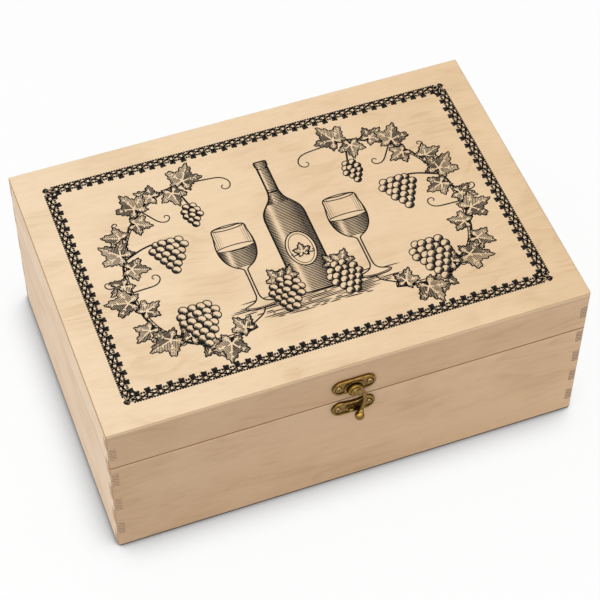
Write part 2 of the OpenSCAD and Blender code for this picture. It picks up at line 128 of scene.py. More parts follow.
def stretched(tree, place, along, per_metre_along, per_metre_across, shift):
    """place scaled and shifted so that a noise of scale 1 is drawn out along one axis."""
    scale = [per_metre_across] * 3
    scale[along] = per_metre_along
    inputs = {"Vector": place, "Location": shift, "Scale": scale}
    return node(tree, "ShaderNodeMapping", inputs).outputs[0]


def new_material(name):
    """A material, its node tree and its Principled shader."""
    material = bpy.data.materials.new(name)
    material.use_nodes = True
    return material, material.node_tree, material.node_tree.nodes["Principled BSDF"]


# ---------------------------------------------------------------- wood

X, Y, Z = 0, 1, 2
# The tints differ partly as the boards do. SIDE_TINT and LID_SIDE_TINT are also made paler as painted light,
# standing in for light from the left that the lamps give only in part.
FRONT_TINT = (0.750, 0.518, 0.318)
SIDE_TINT = (0.825, 0.638, 0.458)
LID_FRONT_TINT = (0.715, 0.487, 0.294)
LID_SIDE_TINT = (0.850, 0.660, 0.472)
TOP_TINT = (0.802, 0.602, 0.388)
# How much each channel of a tint grows from the box's middle to its right end.
# The fronts' fade is painted light: the front boards are lighter towards the right end and darker towards the
# left, as the light falls along them.
FRONT_PAINTED_LIGHT_FADE = (0.09, 0.09, 0.09)
TOP_FADE = (-0.045, -0.075, -0.127)
# The palest grain and the darkest, of an edge and of a broad face, as shares of a tint.
LIGHT_GRAIN = 1.07
DARK_GRAIN = 0.80
WARM_GRAIN = (0.82, 0.745, 0.64)
END_PALE = (0.645, 0.412, 0.248, 1)
END_DARK = (0.345, 0.220, 0.132, 1)
END_SLANT = (0.65, 0.60, 0.70)
FIBRE_DEPTH = 0.06 * MM

# The seam colour: a dark joint line, and at the rim also painted shade, of the gap under the lid and the
# lid's bevel that faces down.
SEAM_LINE_AND_SHADE = (0.23, 0.075, 0.001, 1)
# The pale edge colour is a painted highlight, where the base's top bevel and the lid's rounded top edge catch
# the light from above.
PAINTED_EDGE_HIGHLIGHT = (0.92, 0.68, 0.42, 1)
EDGE_TAN = (0.45, 0.25, 0.10, 1)
END_TAN = (0.40, 0.215, 0.08, 1)
CORNER_BROWN = (0.33, 0.15, 0.035, 1)

# Lines along edges. Each is the place of its middle, its reach to either side, its strength and its colour.
# At the rim seam the brown is a thin burnt edge plus painted shade over the gap and the lid's lower bevel,
# which faces down. At the panel seam it is a dark joint line.
STRIPES = (
    (RIM_SEAM + 0.70 * MM, 0.85 * MM, 1.0, SEAM_LINE_AND_SHADE),
    (RIM_SEAM - 0.50 * MM, 0.50 * MM, 0.6, PAINTED_EDGE_HIGHLIGHT),
    (PANEL_SEAM, 0.15 * MM, 0.3, SEAM_LINE_AND_SHADE),
    (LID_TOP - 1.15 * MM, 0.85 * MM, 0.95, PAINTED_EDGE_HIGHLIGHT),
    (LID_TOP - 0.40 * MM, 0.45 * MM, 0.40, EDGE_TAN),
)
SIDE_STRIPES = 0.55
END_EDGE = (LID_TOP - 0.50 * MM, 0.62 * MM, 0.85, END_TAN)
CORNER_LINE = (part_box("base_front_board")[1].x - 0.10 * MM, 0.90 * MM, 0.7, CORNER_BROWN)


def tone(colour, factor):
    """A colour made lighter or darker, as a shader's RGBA."""
    return (*(channel * factor for channel in colour), 1)


def facing(tree, normal, axis, low, high):
    """From 0 to 1 as the share of a face's normal along an axis, either way, goes from low to high."""
    return ramp(tree, maths(tree, "ABSOLUTE", normal[axis]), low, high)


def grain(tree, place, along, seed):
    """The fibres as fine noise, and how dark the whole figure of the wood is at a place."""
    shift = (seed * 3.7, seed * 5.3, seed * 7.1)

    def drawn(per_metre_along, per_metre_across, detail, distortion=0.0):
        """Noise drawn out along the grain."""
        spot = stretched(tree, place, along, per_metre_along, per_metre_across, shift)
        return noise(tree, spot, 1, detail, distortion)

    fibre = drawn(110, 1500, 3)
    streak = ramp(tree, drawn(9, 110, 4, 0.8), 0.3, 0.72)
    fleck = ramp(tree, drawn(62, 400, 2, 1.2), 0.42, 0.74)
    rings = maths(tree, "FRACT", maths(tree, "MULTIPLY", drawn(4.0, 17, 2.5, 0.9), 13.0))
    late_wood = maths(tree, "MULTIPLY", ramp(tree, rings, 0.45, 0.88), ramp(tree, rings, 1.0, 0.88))
    cloud = ramp(tree, drawn(22, 34, 2), 0.40, 0.66)
    figure = maths(tree, "MULTIPLY", late_wood, cloud)
    darker = maths(tree, "MULTIPLY", ramp(tree, fibre, 0.3, 0.72), 0.13)
    for part, share in ((streak, 0.10), (fleck, 0.14), (figure, 0.27), (cloud, 0.24)):
        darker = maths(tree, "ADD", maths(tree, "MULTIPLY", part, share), darker)
    return fibre, darker


def end_grain(tree, place):
    """The colour of fibres cut across: slanting growth rings with pores between them."""
    slanted = node(tree, "ShaderNodeMapping", {"Vector": place, "Rotation": END_SLANT}).outputs[0]
    rings = {"Vector": slanted, "Scale": 150, "Distortion": 3.5, "Detail": 2.0, "Detail Scale": 2.0}
    bands = node(tree, "ShaderNodeTexWave", rings).outputs[1]
    lines = maths(tree, "MULTIPLY", ramp(tree, bands, 0.35, 0.95), 0.75)
    pores = maths(tree, "MULTIPLY", ramp(tree, noise(tree, place, 1500, 3), 0.40, 0.68), 0.4)
    return blend(tree, maths(tree, "MAXIMUM", lines, pores), END_PALE, END_DARK)


def edge_lines(tree, finish, place, normal, is_end, along, veneered):
    """finish with the seams, painted shade at the rim seam, painted highlights along the eased edges and the
    lines down the corners drawn over it.
    """
    spot = node(tree, "ShaderNodeSeparateXYZ", {0: place}).outputs
    upright = facing(tree, normal, Z, 0.95, 0.80)
    if not veneered:
        upright = maths(tree, "MULTIPLY", upright, ramp(tree, is_end, 0.0, 1.0, 1.0, 0.0))
    if along == Y:
        upright = maths(tree, "MULTIPLY", upright, SIDE_STRIPES)
    lines = [(spot[Z], upright, *stripe) for stripe in STRIPES]
    lines.append((maths(tree, "ABSOLUTE", spot[X]), facing(tree, normal, Y, 0.45, 0.75), *CORNER_LINE))
    if veneered:
        lines.append((spot[Z], facing(tree, normal, X, 0.30, 0.60), *END_EDGE))
    for value, where, middle, reach, strength, colour in lines:
        away = maths(tree, "ABSOLUTE", maths(tree, "SUBTRACT", value, middle))
        share = maths(tree, "MULTIPLY", ramp(tree, away, reach * 0.5, reach, strength, 0.0), where)
        finish = blend(tree, share, finish, colour)
    return finish


def faded(tree, place, colour, amounts):
    """colour with each channel raised by its amount at the box's right end and lowered by it at the left."""
    spot = node(tree, "ShaderNodeSeparateXYZ", {0: place}).outputs[X]
    left = (*(1 - amount for amount in amounts), 1)
    right = (*(1 + amount for amount in amounts), 1)
    level = blend(tree, ramp(tree, spot, -cad_high.x, cad_high.x, course="LINEAR"), left, right)
    return node(tree, "ShaderNodeVectorMath", {0: colour, 1: level}, operation="MULTIPLY").outputs[0]


def wood(name, along, colour, seed, side_colour=None, end_colour=None, fade=None):
    """Fine pale veneer with its grain along one axis, and end grain where a face looks along it.

    side_colour is the tint of the upright edges of a panel whose broad face has another colour,
    end_colour the tint of its ends, where a veneered panel shows no end grain, and fade how much each
    channel of its colour changes from the box's middle to its right end."""
    material, tree, skin = new_material(name)
    coordinates = node(tree, "ShaderNodeTexCoord").outputs
    place = coordinates["Object"]
    normal = node(tree, "ShaderNodeSeparateXYZ", {0: coordinates["Normal"]}).outputs
    fibre, darker = grain(tree, place, along, seed)

    warm = (*(channel * factor for channel, factor in zip(colour, WARM_GRAIN)), 1)
    face = blend(tree, darker, tone(colour, LIGHT_GRAIN), warm)
    if fade:
        face = faded(tree, place, face, fade)
    if side_colour:
        side = blend(tree, darker, tone(side_colour, LIGHT_GRAIN), tone(side_colour, DARK_GRAIN))
        face = blend(tree, facing(tree, normal, Z, 0.8, 0.3), face, faded(tree, place, side, FRONT_PAINTED_LIGHT_FADE))
    if end_colour:
        end = blend(tree, darker, tone(end_colour, LIGHT_GRAIN), tone(end_colour, DARK_GRAIN))
    else:
        end = end_grain(tree, place)
    is_end = facing(tree, normal, along, 0.80, 0.97)
    finish = blend(tree, is_end, face, end)
    finish = edge_lines(tree, finish, place, normal, is_end, along, bool(end_colour))

    tree.links.new(finish, skin.inputs["Base Color"])
    tree.links.new(ramp(tree, fibre, 0.2, 0.8, 0.50, 0.66), skin.inputs["Roughness"])
    bump = node(tree, "ShaderNodeBump", {"Strength": 0.25, "Distance": FIBRE_DEPTH, "Height": fibre})
    tree.links.new(bump.outputs[0], skin.inputs["Normal"])
    return material


# ---------------------------------------------------------------- brass


EDGE_ROUNDING = 0.32 * MM
GRIT_DEPTH = 0.05 * MM
# Each brass: its rubbed gold, its dull face, its near black in recesses (partly patina, partly painted shade)
# and the reach of that dark.
PLATE_BRASS = ((1.0, 0.74, 0.32, 1), (0.30, 0.175, 0.042, 1), (0.020, 0.008, 0.001, 1), 3.0 * MM)
SCREW_BRASS = ((0.98, 0.77, 0.40, 1), (0.33, 0.205, 0.065, 1), (0.012, 0.006, 0.002, 1), 1.5 * MM)


def brass(name, bright, dull, dark, reach):
    """Antique brass: gold on rubbed edges, dull on its faces, and near black within reach of a recess, partly
    patina in its hollows and partly painted shade there and in the gaps between parts.
    """
    material, tree, skin = new_material(name)
    skin.inputs["Metallic"].default_value = 1.0
    place = node(tree, "ShaderNodeTexCoord").outputs["Object"]
    rounded = node(tree, "ShaderNodeBevel", {"Radius": EDGE_ROUNDING}, samples=8).outputs[0]
    flat = node(tree, "ShaderNodeNewGeometry").outputs["Normal"]
    turn = node(tree, "ShaderNodeVectorMath", {0: rounded, 1: flat}, operation="DOT_PRODUCT")
    edge = ramp(tree, turn.outputs["Value"], 0.99, 0.80)
    # The darkening by ambient occlusion is partly patina in the hollows and partly painted shade in recesses
    # and between parts.
    openness = node(tree, "ShaderNodeAmbientOcclusion", {"Distance": reach}, samples=8).outputs["AO"]
    blotch = noise(tree, place, 380, 4)
    clean_and_unshaded = maths(tree, "MULTIPLY", ramp(tree, openness, 0.30, 0.98), ramp(tree, blotch, 0.25, 0.6, 0.6, 1.0))
    rubbed = maths(tree, "MULTIPLY", edge, ramp(tree, openness, 0.55, 0.9))
    colour = blend(tree, rubbed, blend(tree, clean_and_unshaded, dark, dull), bright)
    tree.links.new(colour, skin.inputs["Base Color"])
    tree.links.new(ramp(tree, clean_and_unshaded, 0.0, 1.0, 0.60, 0.27), skin.inputs["Roughness"])
    grit = noise(tree, place, 2600, 3)
    relief = {"Strength": 0.25, "Distance": GRIT_DEPTH, "Height": grit, "Normal": rounded}
    tree.links.new(node(tree, "ShaderNodeBump", relief).outputs[0], skin.inputs["Normal"])
    return material


# ---------------------------------------------------------------- ink


PRINT_LIFT = 0.05 * MM
INK_THICK = (0.012, 0.0105, 0.009, 1)
INK_THIN = (0.026, 0.021, 0.017, 1)


def printers_ink():
    """Flat black printing ink, a little thinner where the grain took less of it."""
    material, tree, skin = new_material("print_ink")
    place = node(tree, "ShaderNodeTexCoord").outputs["Object"]
    patchy = noise(tree, stretched(tree, place, X, 60, 700, (0, 0, 0)), 1, 3)
    tree.links.new(blend(tree, ramp(tree, patchy, 0.45, 0.8), INK_THICK, INK_THIN), skin.inputs["Base Color"])
    skin.inputs["Roughness"].default_value = 0.7
    skin.inputs["Specular IOR Level"].default_value = 0.12
    return material


# ---------------------------------------------------------------- drawing kit
# Drawings are in millimetres on the lid, x to the right and y towards the hinges, from the lid's middle.


def inside(points, outline):
    """For each point, whether it lies within a closed outline."""
    x, y = points[:, 0, None], points[:, 1, None]
    ax, ay = outline[:, 0], outline[:, 1]
    bx, by = np.roll(ax, -1), np.roll(ay, -1)
    rise = np.where(by == ay, 1e-9, by - ay)
    crossed = ((ay > y) != (by > y)) & (x < (bx - ax) * (y - ay) / rise + ax)
    return crossed.sum(axis=1) % 2 == 1


def turned(points, degrees, at=(0.0, 0.0), size=1.0):
    """points scaled and turned about the origin, then moved to at."""
    c, s = math.cos(math.radians(degrees)), math.sin(math.radians(degrees))
    return np.asarray(points, float) @ np.array(((c, s), (-s, c))) * size + np.asarray(at, float)


def curve(points, step=1.0):
    """A smooth curve through a few points, as points about step apart."""
    p = np.asarray(points, float)
    p = np.vstack((2 * p[0] - p[1], p, 2 * p[-1] - p[-2]))
    run = []
    for a, b, c, d in zip(p, p[1:], p[2:], p[3:]):
        count = max(2, int(np.linalg.norm(c - b) / step))
        t = np.linspace(0, 1, count, endpoint=False)[:, None]
        square = (2 * a - 5 * b + 4 * c - d) * t**2
        cube = (3 * b - a - 3 * c + d) * t**3
        run.append(0.5 * (2 * b + (c - a) * t + square + cube))
    return np.vstack((*run, p[-2]))


def circle(centre, across, up=None, count=24, start=0.0, end=360.0):
    """Points round an ellipse of half-width across and half-height up, from start to end degrees."""
    whole = end - start >= 360
    angles = np.radians(np.linspace(start, end, count, endpoint=not whole))
    points = np.column_stack((np.cos(angles) * across, np.sin(angles) * (up or across)))
    return points + np.asarray(centre, float)


THINNEST_STROKE = 0.04


class Print:
    """Ink on the lid. What is drawn first covers what is drawn later, so pictures go from front to back."""

    def __init__(self):
        self.points = []
        self.faces = []
        self.covers = []
        self.mirror = 1

    def cover(self, outline):
        """Nothing that is drawn later shows inside outline."""
        self.covers.append(self.placed(outline))

    def placed(self, points):
        """points on the lid, mirrored left to right while mirror is -1."""
        return np.asarray(points, float) * (self.mirror, 1)

    def fill(self, outline):
        """A solid black shape."""
        outline = self.placed(outline)
        corners = tessellate_polygon([[Vector((x, y, 0)) for x, y in outline]])
        first = len(self.points)
        self.points.extend(map(tuple, outline))
        self.faces.extend(tuple(first + i for i in corner) for corner in corners)

    def line(self, points, width, closed=False):
        """A stroke. width is one number or one for each point, and 0 leaves a gap."""
        points = self.placed(points)
        width = np.broadcast_to(np.asarray(width, float), len(points)).copy()
        if closed:
            points, width = np.vstack((points, points[:1])), np.append(width, width[0])
        for run, run_width in self.shown(points, width):
            self.ribbon(run, run_width)

    def shown(self, points, width, step=0.35):
        """The stretches of a stroke that no cover hides, with their widths."""
        lengths = np.maximum(1, np.ceil(np.linalg.norm(np.diff(points, axis=0), axis=1) / step)).astype(int)
        places = np.concatenate([i + np.arange(n) / n for i, n in enumerate(lengths)] + [[len(points) - 1]])
        index = np.arange(len(points))
        dense = np.column_stack([np.interp(places, index, points[:, k]) for k in (0, 1)])
        dense_width = np.interp(places, index, width)
        seen = dense_width > THINNEST_STROKE
        low, high = points.min(0), points.max(0)
        for outline in self.covers:
            if (outline.max(0) >= low).all() and (outline.min(0) <= high).all():
                seen &= ~inside(dense, outline)
        corner = places == np.round(places)
        edges = np.flatnonzero(np.diff(np.concatenate(([0], seen.astype(int), [0]))))
        for begin, end in zip(edges[::2], edges[1::2]):
            if end - begin > 1:
                keep = corner[begin:end].copy()
                keep[[0, -1]] = True
                yield dense[begin:end][keep], dense_width[begin:end][keep]

    def ribbon(self, points, width):
        """A strip of faces along points."""
        ahead = np.gradient(points, axis=0)
        ahead /= np.maximum(np.linalg.norm(ahead, axis=1), 1e-9)[:, None]
        side = np.column_stack((-ahead[:, 1], ahead[:, 0])) * width[:, None] / 2
        first = len(self.points)
        for left, right in zip(points + side, points - side):
            self.points += [tuple(left), tuple(right)]
        for i in range(first, first + 2 * len(points) - 2, 2):
            self.faces.append((i, i + 1, i + 3, i + 2))

    def hatch(self, outline, degrees, pitch, shade, step=2.0):
        """Parallel strokes inside outline. shade gives their width in mm at an array of points."""
        flat = turned(outline, -degrees)
        low, high = flat.min(0), flat.max(0)
        for level in np.arange(low[1] + pitch / 2, high[1], pitch):
            ay, by = flat[:, 1], np.roll(flat[:, 1], -1)
            ax, bx = flat[:, 0], np.roll(flat[:, 0], -1)
            hit = (ay > level) != (by > level)
            cuts = np.sort(ax[hit] + (level - ay[hit]) / (by[hit] - ay[hit]) * (bx[hit] - ax[hit]))
            for begin, end in zip(cuts[::2], cuts[1::2]):
                along = np.linspace(begin, end, max(2, int((end - begin) / step) + 1))
                stroke = turned(np.column_stack((along, np.full(len(along), level))), degrees)
                self.line(stroke, shade(stroke))

    def made(self, name, height, material):
        """The print as one flat mesh at that height, which rides on the lid."""
        mesh = bpy.data.meshes.new(name)
        mesh.from_pydata([(x * MM, y * MM, height) for x, y in self.points], [], self.faces)
        for face in mesh.polygons:
            if face.normal.z < 0:
                face.flip()
        layer = mesh.uv_layers.new(name="OFBake")
        size = (cad_high - cad_low).xy
        for loop in mesh.loops:
            spot = mesh.vertices[loop.vertex_index].co
            layer.data[loop.index].uv = ((spot.x - cad_low.x) / size.x, (spot.y - cad_low.y) / size.x)
        mesh.materials.append(material)
        piece = bpy.data.objects.new(name, mesh)
        bpy.context.scene.collection.objects.link(piece)
        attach(piece, "lid")
        return piece


# ---------------------------------------------------------------- motifs

# A vine leaf's outline from its stalk to its tip, and its veins, as degrees from the tip and reach.
LOBES = ((-180, 0.10), (-162, 0.44), (-138, 0.72), (-112, 0.50), (-94, 0.60),
         (-62, 0.98), (-40, 0.60), (-28, 0.66), (0, 1.12))
VEINS = ((0, 0.98), (62, 0.84), (-62, 0.84), (138, 0.56), (-138, 0.56))


def vine_leaf(teeth=0.06, count=84):
    """The outline of a toothed five-lobed leaf of about unit reach, its stalk at 0, 0 and its tip at +y."""
    angles = np.linspace(-180, 180, count, endpoint=False)
    lobe = np.interp(-np.abs(angles), *np.array(LOBES).T)
    lobe = lobe * (1 + teeth * np.where(np.arange(count) // 2 % 2, 1, -1))
    bearing = np.radians(angles)
    return np.column_stack((np.sin(bearing), np.cos(bearing))) * lobe[:, None]


def spike(root, tip, width):
    """A long thin triangle."""
    root, tip = np.asarray(root, float), np.asarray(tip, float)
    ahead = (tip - root) / np.linalg.norm(tip - root)
    side = np.array((-ahead[1], ahead[0])) * width / 2
    return np.array((root + side, tip, root - side))


def draw_leaf(art, at, size, degrees, light=1):
    """A vine leaf in two tones: each half is hatched along its own side veins, and the veins stay bare."""
    at = np.asarray(at, float)
    shape = vine_leaf()
    outline = turned(shape, degrees, at, size)
    art.line(outline, 0.80, closed=True)
    for bearing, reach in VEINS:
        tip = turned([(0, reach)], degrees - bearing, at, size)[0]
        art.cover(spike(at, tip, 0.95))
        for part in (0.45, 0.70):
            for side in (-40, 40):
                root = at + (tip - at) * part
                end = root + turned([(0, 0.30 * (1.3 - part))], degrees - bearing + side)[0] * size
                art.cover(spike(root, end, 0.55))

    def tint(strength):
        """Strokes of that width, thinner towards the leaf's rim."""
        def shade(spots):
            depth = np.linalg.norm(spots - at, axis=1) / size
            return np.clip(strength - 0.22 * depth, 0.0, 0.78)
        return shade

    half = len(shape) // 2
    for side, rows in ((-1, shape[: half + 1]), (1, np.vstack((shape[half:], shape[:1])))):
        part = turned(rows, degrees, at, size)
        art.hatch(part, degrees + 90 - side * 52, 0.92, tint(0.84 if side == light else 0.60))
    art.cover(outline)


def draw_grape(art, at, size):
    """A round berry with a highlight at its upper left and a dark lower right."""
    art.line(circle(at, size, count=20), 0.66, closed=True)
    for inset, width, spread in ((0.80, 0.84, 100), (0.54, 0.76, 86), (0.28, 0.62, 78)):
        arc = circle(at, size * inset, count=9, start=-45 - spread, end=-45 + spread)
        art.line(arc, width * np.sin(np.linspace(0.30, math.pi - 0.30, 9)))
    art.cover(circle(at, size, count=20))


def draw_bunch(art, top, rows, size, lean=0.0):
    """A hanging bunch: rows gives how many berries lie side by side, from its foot up."""
    height = size * 1.58
    for level, count in enumerate(rows):
        y = top[1] - (len(rows) - level - 0.5) * height
        for i in sorted(range(count), key=lambda i: abs(i - (count - 1) / 2)):
            wobble = 0.22 * size * math.sin(level * 2.4 + i * 3.9)
            x = top[0] + lean * (top[1] - y) + (i - (count - 1) / 2) * size * 1.70 + wobble
            draw_grape(art, (x, y + 0.4 * wobble), size)


def draw_tendril(art, root, degrees, reach, turns=1.6, hand=1):
    """A shoot that starts straight and ends in a curl."""
    t = np.linspace(0, 1, 34)
    heading = np.radians(degrees) + hand * turns * 2 * math.pi * np.clip(t - 0.25, 0, 1) ** 1.5
    stride = reach / 20 * (1 - 0.80 * t)
    path = np.cumsum(np.column_stack((np.cos(heading), np.sin(heading))) * stride[:, None], axis=0)
    art.line(np.asarray(root) + path, 1.05 - 0.45 * t)


def sides_of(path):
    """The unit vector to the left of each point of a path."""
    ahead = np.gradient(path, axis=0)
    return np.column_stack((-ahead[:, 1], ahead[:, 0])) / np.linalg.norm(ahead, axis=1)[:, None]


def draw_branch(art, path, thick, thin):
    """A woody stem with a dark lower side and short bark strokes."""
    width = np.linspace(thick, thin, len(path))[:, None]
    side = sides_of(path)
    outline = np.vstack((path + side * width / 2, (path - side * width / 2)[::-1]))
    art.line(outline, 0.7, closed=True)
    art.line(path - side * width * 0.20, width[:, 0] * 0.52)
    for i in range(1, len(path) - 1, 2):
        art.line([path[i] + side[i] * width[i] * 0.45, path[i + 1] - side[i] * width[i] * 0.1], (0.55, 0.35))
    art.cover(outline)


# ---------------------------------------------------------------- the picture

FLOOR_LINE = -44.0
NECK_RADIUS, BODY_RADIUS = 3.6, 12.8
NECK_FOOT = 26
LABEL_MIDDLE = (0.6, -12)
BOTTLE_PROFILE = ((0, 62), (3.6, 62), (3.9, 60.6), (3.9, 58.6), (3.4, 57.6), (3.4, 55), (3.4, 40), (3.7, 35),
                  (5.2, 30), (9.4, 24.4), (11.9, 20), (12.8, 15), (12.8, 11), (12.8, -36), (12.8, -40),
                  (11.6, -43.4), (9, -45), (0, -45.6))
BOWL_RADIUS = 12
WINE_LEVEL = 17.5
GLASS_FOOT = 31.8
GLASS_PROFILE = ((0, 34), (9.6, 34), (10.9, 28), (12.0, 20), (11.7, 14), (10.0, 8), (6.4, 3), (1.6, -0.4),
                 (0.9, -4), (0.9, -18), (1.2, -23), (3.4, -26.4), (9.2, -28.6), (9.8, -29.8), (7, -31.2),
                 (0, -31.8))


def lathe(profile, at):
    """The outline of a turned shape from the right half of its profile."""
    half = curve(profile, 1.2)
    return np.vstack((half, (half * (-1, 1))[::-1])) + at


def draw_bottle(art, x):
    """A wine bottle without a name: hatched glass, a foil collar and an oval label with a vine leaf."""
    at = np.array((x, 0.0))
    outline = lathe(BOTTLE_PROFILE, at)
    label = circle(at + LABEL_MIDDLE, 9.0, 13.5, 30)
    art.line(label, 0.8, closed=True)
    art.line(circle(at + LABEL_MIDDLE, 7.2, 11.7, 30), 0.5, closed=True)
    draw_leaf(art, at + (0.6, -14.6), 6.2, 0)
    draw_tendril(art, at + (-1.2, -15.2), 200, 7.5, 1.3, -1)
    draw_tendril(art, at + (2.4, -15.2), -20, 7.5, 1.3, 1)
    art.cover(label)
    for height in (36.5, 38.2, 56.4):
        art.line([at + (-NECK_RADIUS, height), at + (0, height - 0.7), at + (NECK_RADIUS, height)], 0.75)
    art.line(outline, 1.1, closed=True)

    def shade(spots):
        """Strokes across the glass, with a gleam at its left."""
        across = (spots[:, 0] - x) / np.where(spots[:, 1] > NECK_FOOT, NECK_RADIUS, BODY_RADIUS)
        gleam = np.exp(-(((across + 0.52) / 0.16) ** 2))
        return np.clip(0.66 + 0.50 * np.abs(across + 0.15) ** 1.6, 0, 1.05) * (1 - 1.05 * gleam)

    art.hatch(outline, 0, 1.2, shade, 1.2)
    art.cover(outline)


def draw_glass(art, x, foot):
    """A stemmed glass, half full."""
    at = np.array((x, foot + GLASS_FOOT))
    outline = lathe(GLASS_PROFILE, at)
    level = at[1] + WINE_LEVEL
    surface = circle((x, level), 11.9, 2.1, 26)
    art.line(surface, 0.7, closed=True)
    art.cover(surface)
    art.line(circle((x, at[1] + 33.6), 9.6, 1.8, 26), 0.7, closed=True)
    art.line(circle((x, foot + 3.2), 9.4, 2.2, 26, 200, 340), 0.6)
    art.line(outline, 0.9, closed=True)

    def wine(spots):
        """Strokes across the wine, with a gleam at its left."""
        across = (spots[:, 0] - x) / BOWL_RADIUS
        filled = (spots[:, 1] < level) & (spots[:, 1] > at[1] + 1.5)
        gleam = np.exp(-(((across + 0.5) / 0.14) ** 2))
        return np.where(filled, (0.66 + 0.42 * np.abs(across)) * (1 - gleam), 0)

    def wall(spots):
        """Upright strokes at both sides of the empty part of the bowl."""
        across = (spots[:, 0] - x) / BOWL_RADIUS
        return np.where(spots[:, 1] > level, np.clip(np.abs(across) - 0.48, 0, 1) * 0.95, 0)

    art.hatch(outline, 0, 1.15, wine, 1.2)
    art.hatch(outline, 90, 1.3, wall, 1.2)
    art.cover(outline)


TABLE_ROWS = 15
TABLE_PITCH = 1.15


def draw_table(art):
    """A tabletop: long strokes that thin out towards their ends, darker under the glassware."""
    rng = np.random.default_rng(7)
    for row in range(TABLE_ROWS):
        y = FLOOR_LINE + 3.6 - row * TABLE_PITCH
        half = 57 - 0.30 * (row - 5) ** 2
        edges = np.sort(rng.uniform(-half, half, 7))
        for begin, end in zip(edges, edges[1:]):
            t = np.linspace(0, 1, 7)
            x = begin + 0.6 + (end - begin - 1.2) * t
            if end - begin > 3:
                art.line(np.column_stack((x, y + 0.25 * np.sin(x / 6))), 0.82 * np.sin(math.pi * t) ** 0.5)


VINE = ((44, -58), (62, -61), (82, -57), (98, -42), (105, -18),
        (104, 8), (95, 32), (80, 50), (60, 60), (44, 61))
VINE_LEAVES = 17  # along the vine, their sizes and turns repeating
LEAF_SIZES = (10.5, 12.2, 9.4, 11.4, 12.8, 9.8)
LEAF_TURNS = (-14, 18, -30, 8, 26, -8)
# A bunch: how far along the vine its stalk starts, its top, its berries in rows from the foot up, their size.
BUNCHES = ((0.24, (73, -31), (1, 2, 3, 4, 5, 5, 4), 2.9), (0.60, (74, 22), (1, 2, 3, 4, 5, 4), 2.8),
           (0.93, (52, 44), (1, 2, 3, 3, 2), 2.3))
# A tendril: how far along the vine it starts, its direction in degrees, its reach, the side it curls to.
TENDRILS = ((0.05, 150, 34, -1), (0.30, 215, 24, 1), (0.47, 178, 30, -1), (0.52, -8, 20, 1),
            (0.80, 236, 28, -1), (0.98, 186, 40, 1), (0.70, 40, 18, 1))


def draw_spray(art):
    """A vine that rises beside the glassware, with leaves on both sides, bunches and tendrils."""
    path = curve(VINE, 2.0)
    left = sides_of(path)

    def at(share):
        """The number of the path's point that far along it."""
        return min(len(path) - 1, int(share * (len(path) - 1)))

    for share, top, rows, size in BUNCHES:
        draw_bunch(art, top, rows, size, 0.04)
    for i in range(VINE_LEAVES):
        spot = at((i + 0.6) / VINE_LEAVES)
        hand = -1 if i % 3 else 1
        size = LEAF_SIZES[i % 6] * (1.0 if hand < 0 else 0.86)
        base = path[spot] + left[spot] * hand * (4.4 if i % 2 else 2.6)
        away = math.degrees(math.atan2(left[spot][1] * hand, left[spot][0] * hand)) - 90
        draw_leaf(art, base, size, away + LEAF_TURNS[i % 6], 1 if i % 2 else -1)
        stalk = path[max(0, spot - 2)]
        art.line(curve([stalk, (stalk + base) / 2 + left[spot] * hand * 0.6, base]), 1.1)
    for share, top, rows, size in BUNCHES:
        root = path[at(share)]
        art.line(curve([root, (root + top) / 2 + (0, 2.0), top]), 1.3)
    draw_branch(art, path, 3.2, 1.3)
    for share, degrees, reach, hand in TENDRILS:
        draw_tendril(art, path[at(share)], degrees, reach, 1.5, hand)


def draw_picture():
    """Glasses and a bottle on a table between two vine sprays."""
    art = Print()
    for side in (1, -1):
        art.mirror = side
        draw_bunch(art, (17.5, -28.5), (2, 3, 4, 5, 4, 2), 2.7, 0.08)
        draw_leaf(art, (20, -29.5), 8.6, -28, side)
        draw_leaf(art, (14.5, -29), 7.2, 30, -side)
    art.mirror = 1
    draw_glass(art, 36, FLOOR_LINE - 3)
    draw_glass(art, -36, FLOOR_LINE - 3)
    draw_bottle(art, 0)
    draw_table(art)
    for side in (1, -1):
        art.mirror = side
        draw_spray(art)
    return art


# ---------------------------------------------------------------- the border

# The border's lines are measured inwards from its outer edge, and CORNER_ROOM is kept for the corners.
BORDER_MARGIN = 16.6
BORDER_PITCH = 6.9
CORNER_ROOM = 5.6
BEAD_LINE, STEM_LINE, LEAF_LINE = 0.75, 3.0, 6.2
# A bud: its place along the pitch and inwards, its size and its turn in degrees.
BUDS = ((0.12, 5.2, 0.95, 15), (0.88, 5.2, 0.95, -25), (0.50, 1.55, 0.85, 180), (0.0, 2.8, 1.0, 90),
        (0.26, 1.7, 0.7, 140), (0.76, 1.7, 0.7, 220))
BUD = ((0, 1.25), (-0.8, 0.35), (-0.45, -0.8), (0.45, -0.8), (0.8, 0.35))


def small_leaf(count=40):
    """The outline of a rounded leaf of unit reach, seen as a black shape."""
    angles = np.radians(np.linspace(-180, 180, count, endpoint=False))
    return np.column_stack((np.sin(angles), np.cos(angles))) * (0.85 - 0.15 * np.cos(4 * angles))[:, None]


